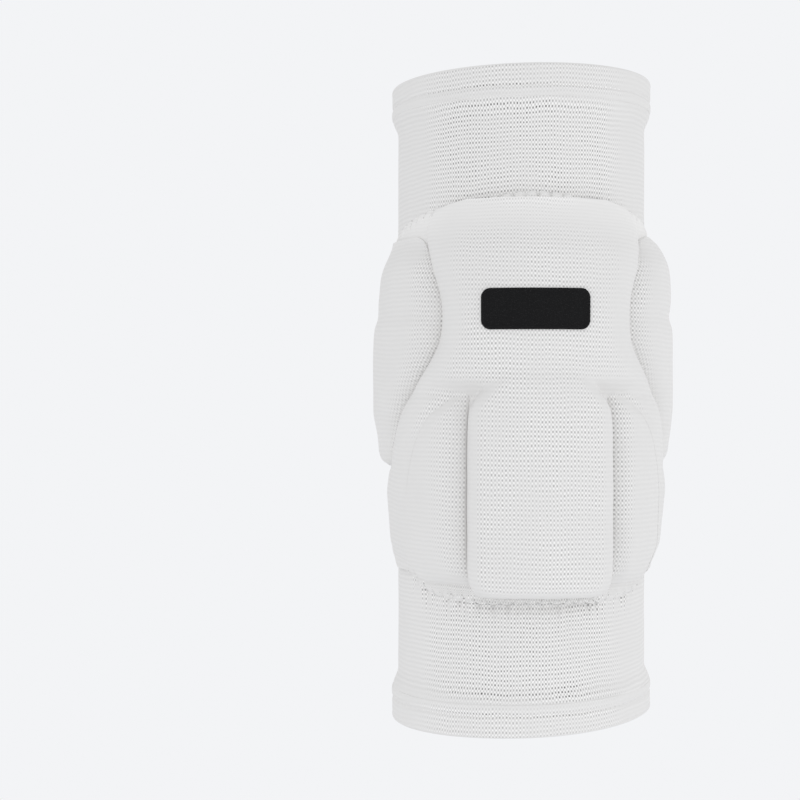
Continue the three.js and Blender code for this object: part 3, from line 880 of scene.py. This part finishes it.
def make_seam_thread():
    """The thread that zigzags over the panel's edge, one stitch for each bump."""
    turns = np.linspace(-PANEL_WRAP, PANEL_WRAP, 500)
    top = np.stack([arc(turns), panel_reach(turns, 1)], 1)
    foot = np.stack([arc(turns), -panel_reach(turns, -1)], 1)[::-1]
    loop = np.concatenate([top, foot, top[:1]])
    length = np.concatenate([[0], np.cumsum(np.hypot(*np.diff(loop, axis=0).T))])
    stitches = round(length[-1] / SEAM_PITCH)
    place = np.linspace(0, length[-1], stitches * 12 + 1)[:-1]

    def along(at):
        at = at % length[-1]
        return np.stack([np.interp(at, length, loop[:, 0]), np.interp(at, length, loop[:, 1])], 1)

    direction = along(place + 1.5) - along(place - 1.5)
    direction /= np.linalg.norm(direction, axis=1)[:, None]
    swing = 1.2 * np.cos(2 * math.pi * place * stitches / length[-1]) - 0.5
    flat = along(place) + np.stack([-direction[:, 1] * swing, direction[:, 0] * swing], 1)
    edge = smoothstep(0.5 - swing / 0.8)
    turn = np.degrees(flat[:, 0] / SEAT_RADIUS)
    panel = PANEL_RADIUS - panel_fall(-swing, turn)
    radius = SLEEVE_RADIUS - 0.06 + (panel - SLEEVE_RADIUS) * edge
    points = to_points(turn, radius, flat[:, 1])
    verts, faces = tube(points, THREAD_THICK * MM)
    no_knit = np.zeros((len(faces) * 4, 2))
    piece = make_piece("seam_thread", verts, faces, no_knit, WHITE_THREAD)
    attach(piece, "root")
    return piece


def make_patch():
    """A plain embroidered bar with round corners, on the dome and turned a little to the left."""
    width, height, corner, centre = 40.0, 15.0, 3.5, 33.0
    turned = -2.5
    rows = levels(height / 2, -height / 2, spacing=0.35)
    into = np.maximum(0, np.abs(rows) - (height / 2 - corner))
    cut = corner - np.sqrt(corner ** 2 - into ** 2)
    middle = SEAT_RADIUS + KNEE_THICK
    half = np.degrees((width / 2 - cut) / middle)
    angle = spread(-half, half, 110, 0.5)
    z = (centre + rows)[:, None] + 0 * angle
    from_side = arc(half[:, None] - np.abs(angle), middle)
    from_end = (height / 2 - np.abs(rows))[:, None]
    edge = np.minimum(from_side, from_end + 0 * angle)
    knit = np.stack([arc(angle, middle), z], axis=-1)
    angle = angle + turned
    seat = SEAT_RADIUS + centre_height(np.abs(angle), z / PANEL_TOP)
    seat = seat + pad_waves(angle, z) + 0.1
    border = 0.25 * hump(edge - 0.9, 0.7)
    outer = seat + 0.55 * rounded_side(edge, rounding=0.7, stand=0.1) + border
    piece = skin_piece("embroidered_bar", angle, outer, seat, z, knit, embroidery_material())
    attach(piece, "root")
    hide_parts("embroidered_patch")


# Light, floor and camera, in metres


def make_light(name, place, aim, size, power):
    """A round lamp at a place, turned towards what it aims at."""
    light = bpy.data.lights.new(name, "AREA")
    light.shape = "DISK"
    light.size = size
    light.energy = power
    lamp = bpy.data.objects.new(name, light)
    bpy.context.collection.objects.link(lamp)
    toward = np.array(aim) - np.array(place)
    lamp.location = place
    turn = math.atan2(-toward[0], toward[1])
    tilt = math.atan2(toward[2], math.hypot(toward[0], toward[1]))
    lamp.rotation_euler = (math.pi / 2 + tilt, 0, turn)


def make_stage():
    """A round pale floor below the pad, an even pale world and two soft lights from low in front."""
    steps = 64
    floor_level = -0.45
    around = [2 * math.pi * i / steps for i in range(steps)]
    rim = [(math.cos(t), math.sin(t), floor_level) for t in around]
    mesh = bpy.data.meshes.new("floor")
    mesh.from_pydata(rim, [], [list(range(steps))])
    graph = Graph("pale_floor")
    place = graph.node("ShaderNodeTexCoord", output="Object")
    grain = graph.noise(place, 60.0)
    color = graph.mix(grain, (0.87, 0.875, 0.885, 1), (0.9, 0.905, 0.915, 1))
    graph.link(color, graph.shader.inputs["Base Color"])
    graph.shader.inputs["Roughness"].default_value = 0.9
    mesh.materials.append(graph.material)
    floor = bpy.data.objects.new("floor", mesh)
    bpy.context.collection.objects.link(floor)
    world = bpy.data.worlds.new("studio")
    world.use_nodes = True
    background = world.node_tree.nodes["Background"]
    background.inputs["Color"].default_value = (0.896, 0.904, 0.921, 1)
    background.inputs["Strength"].default_value = 1.0
    bpy.context.scene.world = world
    bpy.context.scene.view_settings.view_transform = "Standard"
    make_light("key", place=(0.8, -0.5, -0.2), aim=(0, 0, -0.1), size=0.4, power=1.05)
    make_light("fill", place=(-0.45, -0.5, -0.3), aim=(0, 0, -0.13), size=0.25, power=0.4)


def make_camera():
    """Level with the knee and a little to its left, aimed so that the pad is right of the middle."""
    azimuth = math.radians(-7.5)
    ahead = 0.640
    aside = 0.04835
    aim = azimuth + math.atan(aside / ahead)
    distance = math.hypot(ahead, aside)
    picture_pixels = 800.0
    focal_pixels = 1595.0
    camera = bpy.data.cameras.new("camera")
    camera.sensor_width = 36.0
    camera.lens = 36.0 * focal_pixels / picture_pixels
    holder = bpy.data.objects.new("camera", camera)
    holder.location = (math.sin(azimuth) * distance, -math.cos(azimuth) * distance, 0)
    holder.rotation_euler = (math.pi / 2, 0, aim)
    bpy.context.collection.objects.link(holder)
    bpy.context.scene.camera = holder


make_camera()
make_stage()
sleeve = make_sleeve()
hems = [make_hem("upper_hem_knit", "upper_hem", 1), make_hem("lower_hem_knit", "lower_hem", -1)]
panel = make_panel()
thread = make_seam_thread()
make_centre_pad()
for place, way in [("left", -1), ("right", 1)]:
    make_lobe(place, way)
    make_side_pad(place, way)
make_patch()
